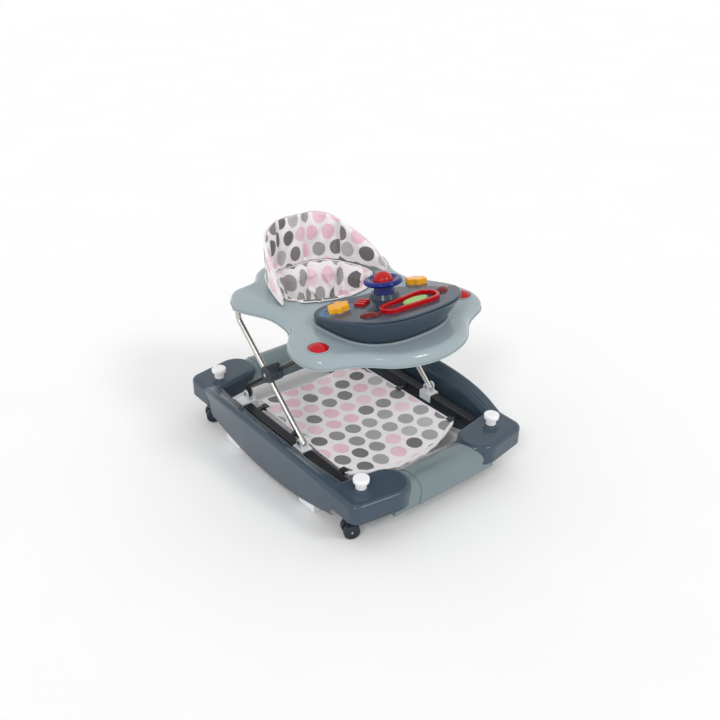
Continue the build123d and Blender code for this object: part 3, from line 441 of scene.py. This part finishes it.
bm = shaped_grid(240, 92, sling_place, sling_cloth, wrap=True)
leg_radius, leg_apart, leg_front, leg_rise = 0.0385, 0.052, 0.030, 0.042
leg_depth = 0.045                       # how far along its axis a leg hole cuts
leg_tilt = math.radians(62)
leg_along = Vector((0, -math.sin(leg_tilt), math.cos(leg_tilt)))
leg_lines = [(Vector((x, leg_front, sling_low.z + leg_rise)), leg_along) for x in (leg_apart, -leg_apart)]


def from_line(point, line):
    """Vector from a leg hole's axis to a point, and how far along the axis it lies."""
    start, along = line
    reach = point - start
    return reach - along * reach.dot(along), reach.dot(along)


doomed = []
for vert in bm.verts:
    for line in leg_lines:
        off, along = from_line(vert.co, line)
        if off.length < leg_radius - 0.001 and abs(along) < leg_depth:
            doomed.append(vert)
bmesh.ops.delete(bm, geom=list(set(doomed)), context="VERTS")
leg_edges = [[], []]
for vert in bm.verts:
    if vert.is_boundary and vert.co.z < sling_high.z - 0.02:
        for index, line in enumerate(leg_lines):
            off, along = from_line(vert.co, line)
            if off.length < leg_radius + 0.006:
                vert.co += off.normalized() * (leg_radius - off.length)
                leg_edges[index].append(vert.co.copy())
bmesh.ops.recalc_face_normals(bm, faces=bm.faces)
sling = new_piece("seat_sling_cloth", bm, dotted)
hem_wall = sling.modifiers.new("thickness", "SOLIDIFY")
hem_wall.thickness = sling_wall
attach(sling, "tray")
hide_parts("seat_sling")


def piping(name, points, radius, body, closed=True):
    """Bound edge or sewn cord: a white tube along points."""
    curve = bpy.data.curves.new(name, "CURVE")
    curve.dimensions = "3D"
    curve.bevel_depth = radius
    curve.bevel_resolution = 3
    curve.use_fill_caps = True
    spline = curve.splines.new("POLY")
    spline.points.add(len(points) - 1)
    for place, point in zip(spline.points, points):
        place.co = (*point, 1.0)
    spline.use_cyclic_u = closed
    holder = bpy.data.objects.new(name + "_path", curve)
    bpy.context.scene.collection.objects.link(holder)
    mesh = bpy.data.meshes.new_from_object(holder)
    bpy.data.objects.remove(holder)
    mesh.name = name
    mesh.materials.clear()
    mesh.materials.append(binding)
    flat_map = mesh.uv_layers.get("cloth") or mesh.uv_layers.new(name="cloth")
    for face in mesh.polygons:
        face.use_smooth = True
        for index in face.loop_indices:
            point = mesh.vertices[mesh.loops[index].vertex_index].co
            flat_map.data[index].uv = (point.x + point.y, point.z)
    tube = bpy.data.objects.new(name, mesh)
    bpy.context.scene.collection.objects.link(tube)
    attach(tube, body)
    return tube


rim_steps = 180
rim_points = [sling_place(i / rim_steps, 0.0) for i in range(rim_steps)]
seat_hem = piping("seat_hem", rim_points, 0.0016, "tray")
for index, (side, line) in enumerate(zip(("right", "left"), leg_lines)):
    across = Vector((1, 0, 0))
    up = line[1].cross(across)
    turns = [(math.atan2((p - line[0]).dot(up), (p - line[0]).dot(across)), p) for p in leg_edges[index]]
    loop = [p for _, p in sorted(turns, key=lambda pair: pair[0])]
    piping("leg_hem_" + side, loop, 0.0022, "tray")

# ---------------------------------------------------------------- seat back
# Padded cotton arch that stands on the tray behind the child: wadding over a stiff board, bent round the
# opening on a few vertical folds, with a white cord sewn along its edge.
back_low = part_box("seat_back")[0]
back_board = BVHTree.FromPolygons([v.co for v in nodes["seat_back"].data.vertices],
                                  [face.vertices[:] for face in nodes["seat_back"].data.polygons])
fold_places = [math.radians(a) for a in (-72, -27, 16, 60)]
wing_turn = math.radians(113.5)
back_steps = 80
pad_thick, pad_thinner, pad_inset = 0.018, 0.007, 0.001
back_lean = 0.35                        # how far a fold drifts round the back, in radians a metre of height
back_ring = []
for step in range(back_steps + 1):
    turn = (step / back_steps - 0.5) * 2 * wing_turn
    outward = Vector((math.sin(turn), math.cos(turn), 0))
    foot = Vector((seat_middle.x, seat_middle.y, back_low.z + 0.003))
    outer = back_board.ray_cast(foot + outward * 0.4, -outward)[0]
    rim = back_board.ray_cast(Vector((*outer.xy, 0.7)) - outward * 0.006, Vector((0, 0, -1)))[0]
    back_ring.append((outer.xy, outward.xy, rim.z if rim else outer.z + 0.008))


def back_spot(u):
    """Point of the pad's outer line, its outward direction and its rim height."""
    place = u * back_steps
    first = min(int(place), back_steps - 1)
    share = place - first
    one, two = back_ring[first], back_ring[first + 1]
    return one[0].lerp(two[0], share), one[1].lerp(two[1], share), one[2] * (1 - share) + two[2] * share


def back_place(u, v):
    """u runs from one wing round the back to the other, v once round the pad's section."""
    outer, outward, rim = back_spot(u)
    lap = 2 * math.pi * v
    rise = 0.5 - 0.5 * math.cos(lap)
    side = math.copysign(abs(math.sin(lap)) ** 0.45, math.sin(lap))
    thick = (pad_thick - pad_thinner * rise) * (1 - 0.45 * abs(2 * u - 1) ** 6)
    wave = 0.0016 * math.sin(9 * u * math.pi + 0.8) * rise
    middle = outer - outward * (thick / 2 + pad_inset)
    spot = middle + outward * (side * thick / 2 + wave)
    height = rim - back_low.z - 2 * pad_inset
    return Vector((spot.x, spot.y, back_low.z + pad_inset + height * rise))


def back_cloth(u, v):
    """Cloth map of the pad: its two sides lie apart, and each fold inside takes up a tuck."""
    rise = 0.5 - 0.5 * math.cos(2 * math.pi * v)
    rim = back_spot(u)[2]
    turn = (u - 0.5) * 2 * wing_turn - back_lean * (rim - back_low.z) * rise
    tucked = 0.014 * sum(turn > fold for fold in fold_places) if v > 0.5 else 0.0
    return (u - 0.5) * back_run + tucked + (0.0 if v < 0.5 else 0.9), (rim - back_low.z) * rise + 0.013


back_run = sum((one[0] - two[0]).length for one, two in zip(back_ring, back_ring[1:]))
bm = shaped_grid(200, 60, back_place, back_cloth, wrap=True)
bmesh.ops.holes_fill(bm, edges=[e for e in bm.edges if e.is_boundary])
bmesh.ops.recalc_face_normals(bm, faces=bm.faces)
back_pad = new_piece("seat_back_pad", bm, dotted)


settle_frames = 20


def puff(piece, pins, pressure, cap):
    """Blow the padding up as cloth, held at its pins, and keep the result in the mesh."""
    start = [v.co.copy() for v in piece.data.vertices]
    group = piece.vertex_groups.new(name="sewn")
    group.add(pins, 1.0, "REPLACE")
    cloth = piece.modifiers.new("padding", "CLOTH")
    cloth.settings.use_pressure = True
    cloth.settings.uniform_pressure_force = pressure
    cloth.settings.tension_stiffness = 12
    cloth.settings.compression_stiffness = 6
    cloth.settings.bending_stiffness = 0.4
    cloth.settings.mass = 0.25
    cloth.settings.vertex_group_mass = "sewn"
    cloth.settings.effector_weights.gravity = 0
    cloth.collision_settings.use_collision = False
    cloth.collision_settings.use_self_collision = False
    scene = bpy.context.scene
    for step in range(1, settle_frames + 1):
        scene.frame_set(step)
    settled = piece.evaluated_get(bpy.context.evaluated_depsgraph_get())
    ends = [v.co.copy() for v in settled.data.vertices]
    piece.modifiers.remove(cloth)
    for vert, before, after in zip(piece.data.vertices, start, ends):
        move = after - before
        vert.co = before + move * min(1.0, cap / max(move.length, 1e-9))
    scene.frame_set(1)


def turn_of(point):
    """Turn of a point round the seat from straight back."""
    turn = math.pi / 2 - math.atan2(point.y - seat_middle.y, point.x - seat_middle.x)
    return (turn + math.pi) % (2 * math.pi) - math.pi


def spot_beside(point):
    """The pad's outer line, outward direction and rim height beside a point."""
    return back_spot(max(0.0, min(1.0, turn_of(point) / (2 * wing_turn) + 0.5)))


def from_fold(point, lean):
    """Distance round the seat to the nearest fold, which leans with height."""
    height = point.z - back_low.z
    return min(abs(turn_of(point) - fold + lean * height) for fold in fold_places) * mean_reach


pins = []
inner_side = {}
for vert in back_pad.data.vertices:
    outer = spot_beside(vert.co)[0]
    inner_side[vert.index] = (outer - vert.co.xy).length > pad_thick / 2
    if vert.co.z < back_low.z + 0.004 or (from_fold(vert.co, 0.0) < 0.0022 and inner_side[vert.index]):
        pins.append(vert.index)
puff(back_pad, pins, 4.0, 0.006)
valley_depth, valley_width = 0.0085, 0.006
pad_dent_scale, pad_dent_depth = 18.0, 0.0055
foot_fade, rim_fade, least_fade = 0.012, 0.022, 0.15
for vert in back_pad.data.vertices:
    below_rim = spot_beside(vert.co)[2] - vert.co.z
    fade = min(1.0, (vert.co.z - back_low.z) / foot_fade) * max(least_fade, min(1.0, below_rim / rim_fade))
    away = Vector((vert.co.x - seat_middle.x, vert.co.y - seat_middle.y, 0)).normalized()
    near_fold = from_fold(vert.co, back_lean)
    valley = valley_depth * math.exp(-(near_fold / valley_width) ** 2) if inner_side[vert.index] else 0.0
    dents = crumple(Vector((vert.co.x, vert.co.y, vert.co.z * 0.6)), pad_dent_scale, pad_dent_depth)
    vert.co += away * (valley - dents) * fade * (1 if inner_side[vert.index] else -0.5)
softer = back_pad.modifiers.new("softer", "SUBSURF")
softer.levels = softer.render_levels = 1
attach(back_pad, "tray")
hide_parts("seat_back")
cord_steps = 90
rim_lap, foot_lap = 0.44, 0.13          # where round the pad's section the cord and the foot hem are sewn
edge_points = [back_place(i / cord_steps, rim_lap) + Vector((0, 0, 0.0005)) for i in range(cord_steps + 1)]
piping("seat_back_cord", edge_points, 0.0013, "tray", closed=False)
foot_points = [back_place(i / cord_steps, foot_lap) + Vector((0, 0, 0.0004)) for i in range(cord_steps + 1)]
piping("seat_back_foot_hem", foot_points, 0.0015, "tray", closed=False)

# ---------------------------------------------------------------- foot mat
# Sheet of the same dotted cotton, backed and bound in white, clipped to hooks along both rails.
# It sags a little between them under its own weight.
mat_low, mat_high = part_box("foot_mat")
mat_mid = (mat_low + mat_high) / 2
mat_width, mat_length = mat_high.x - mat_low.x, mat_high.y - mat_low.y
mat_inset = 0.001
mat_taper = 0.05
mat_sag, hem_sag = 0.010, 0.004
ruck_scale, ruck_depth = 15.0, 0.0022
mat_corner = min(v.co.y for v in nodes["foot_mat"].data.vertices if v.co.x > mat_high.x - 0.003)
mat_bow = mat_corner - mat_low.y


def mat_place(u, v):
    """u runs across the mat, v from its bowed front edge to its rear edge."""
    across = 2 * u - 1
    front = mat_low.y + mat_inset + mat_bow * across * across
    y = front + (mat_high.y - mat_inset - front) * v
    x = across * (mat_width / 2 - mat_inset) * (1 - mat_taper * v)
    hollow = math.sin(math.pi * u)
    sag = mat_sag * hollow * (0.75 + 0.25 * math.sin(math.pi * v)) + hem_sag * hollow * (1 - v) ** 8
    ruck = crumple(Vector((x, y, 3.0)), ruck_scale, ruck_depth) * hollow
    return Vector((x, y, mat_mid.z + 0.0008 - sag + ruck))


def mat_cloth(u, v):
    """Cloth map of the mat: its print as seen from above, shifted off centre."""
    spot = mat_place(u, v)
    return spot.x + 0.011, spot.y + 0.017


bm = shaped_grid(96, 108, mat_place, mat_cloth)
bmesh.ops.recalc_face_normals(bm, faces=bm.faces)
mat = new_piece("foot_mat_cloth", bm, dotted)
if mat.data.polygons[0].normal.z < 0:
    mat.data.flip_normals()
backing = mat.modifiers.new("thickness", "SOLIDIFY")
backing.thickness = 0.0018
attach(mat, "base")
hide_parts("foot_mat")
edge_steps = 40
mat_edge = ([mat_place(i / edge_steps, 0.0) for i in range(edge_steps)]
            + [mat_place(1.0, i / edge_steps) for i in range(edge_steps)]
            + [mat_place(1 - i / edge_steps, 1.0) for i in range(edge_steps)]
            + [mat_place(0.0, 1 - i / edge_steps) for i in range(edge_steps)])
mat_binding = piping("mat_binding", mat_edge, 0.0021, "base")
hem_steps = 60
front_edge = [mat_place(i / hem_steps, 0.0) + Vector((0, 0.0012, -0.001 - 0.0015 * math.sin(i * 0.9)))
              for i in range(1, hem_steps)]
front_hem = piping("mat_front_hem", front_edge, 0.0042, "base", closed=False)

# ---------------------------------------------------------------- studio
# Pale floor, even white surroundings and two soft distant lamps, one from the left and one from the front.
studio = bpy.context.scene
studio.view_settings.view_transform = "Standard"
world = bpy.data.worlds.new("studio")
studio.world = world
world.use_nodes = True
surround = world.node_tree.nodes["Background"]
surround.inputs["Color"].default_value = (1, 1, 1, 1)
paths = world.node_tree.nodes.new("ShaderNodeLightPath")
ambient, shown = 0.77, 1.0
seen = world.node_tree.nodes.new("ShaderNodeMath")
seen.operation = "MAXIMUM"
world.node_tree.links.new(paths.outputs["Is Camera Ray"], seen.inputs[0])
world.node_tree.links.new(paths.outputs["Is Glossy Ray"], seen.inputs[1])
level = remap(world.node_tree, seen.outputs["Value"], 0.0, 1.0, ambient, shown)
world.node_tree.links.new(level, surround.inputs["Strength"])

bm = bmesh.new()
bmesh.ops.create_grid(bm, x_segments=1, y_segments=1, size=6.0)
pale, pale_tree, pale_shader = new_material("pale_floor")
pale_place = pale_tree.nodes.new("ShaderNodeTexCoord").outputs["Object"]
pale_shade = shade_between(pale_tree, spread(pale_tree, add_noise(pale_tree, pale_place, 3.0), 0, 1),
                           (0.975, 0.975, 0.975, 1), (0.99, 0.99, 0.99, 1))
pale_tree.links.new(pale_shade, pale_shader.inputs["Base Color"])
pale_shader.inputs["Roughness"].default_value = 0.9
floor = new_piece("floor", bm, pale, smooth=False)

lamps = (("left_lamp", (0.9, 0.55, -0.85), 0.62), ("right_lamp", (-0.35, 1.0, -0.95), 0.55))
for name, toward, power in lamps:
    lamp = bpy.data.lights.new(name, "SUN")
    lamp.energy = power
    lamp.angle = math.radians(13)
    holder = bpy.data.objects.new(name, lamp)
    holder.rotation_euler = Vector(toward).to_track_quat("-Z", "Y").to_euler()
    studio.collection.objects.link(holder)

azimuth, elevation, roll = math.radians(-38.54), math.radians(30.27), math.radians(0.33)
aim = Vector((0.0, 0.0037, 0.2225))
distance = 2.1183
level_share = math.cos(elevation)
back = Vector((math.sin(azimuth) * level_share, -math.cos(azimuth) * level_share, math.sin(elevation)))
eye = bpy.data.cameras.new("eye")
eye.lens = 45.23
eye.sensor_width = 36.0
eye.shift_x, eye.shift_y = 0.0153, 0.0028
camera = bpy.data.objects.new("camera", eye)
studio.collection.objects.link(camera)
camera.location = aim + back * distance
turn = (-back).to_track_quat("-Z", "Y").to_matrix() @ Matrix.Rotation(roll, 3, "Z")
camera.rotation_euler = turn.to_euler()
studio.camera = camera
